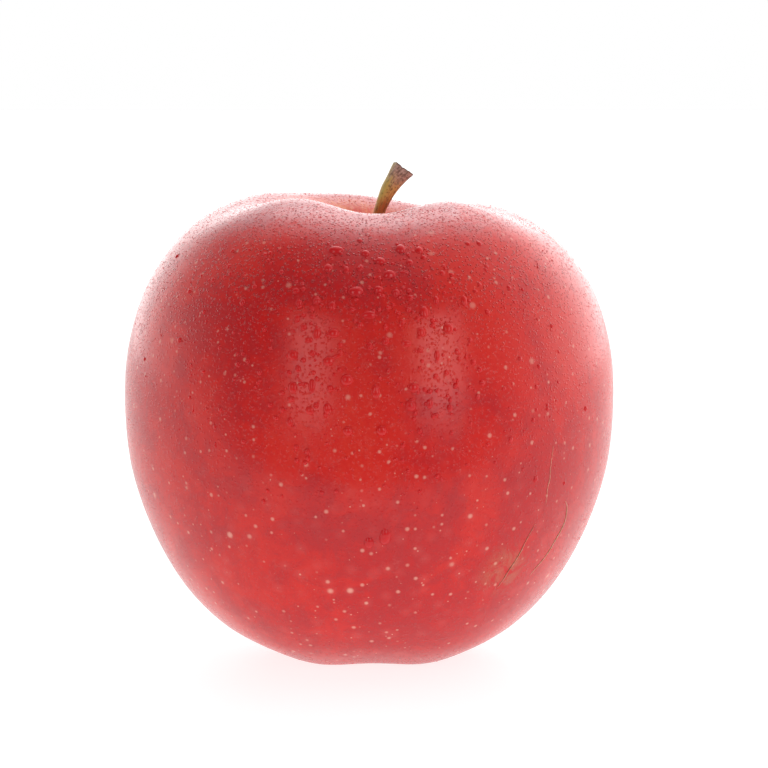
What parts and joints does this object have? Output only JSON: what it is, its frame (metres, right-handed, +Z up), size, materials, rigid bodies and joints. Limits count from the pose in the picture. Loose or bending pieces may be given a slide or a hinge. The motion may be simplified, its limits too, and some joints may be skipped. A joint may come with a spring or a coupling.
{
  "type": "apple",
  "caption": "Round red apple with uneven shoulders, a lobed base, a curved woody stem in its upper basin and dried sepals in the lower one.",
  "frame": {"origin": "on the resting plane, under the middle of the fruit's box", "axes": "+Z up along the core, -Y towards the side that the picture shows, +X to the right in the picture"},
  "size_m": [0.0866, 0.0864, 0.0874],
  "materials": {
    "skin": "smooth natural wax over streaked red skin",
    "stem_bark": "matt, ridged, torn at its end",
    "dried_sepal": "matt, dry, downy",
    "dried_stamen": "matt, dry"
  },
  "bodies": {
    "root": {"fruit": "skin", "stem": "stem_bark", "sepals": "dried_sepal", "stamens": "dried_stamen"}
  },
  "joints": []
}
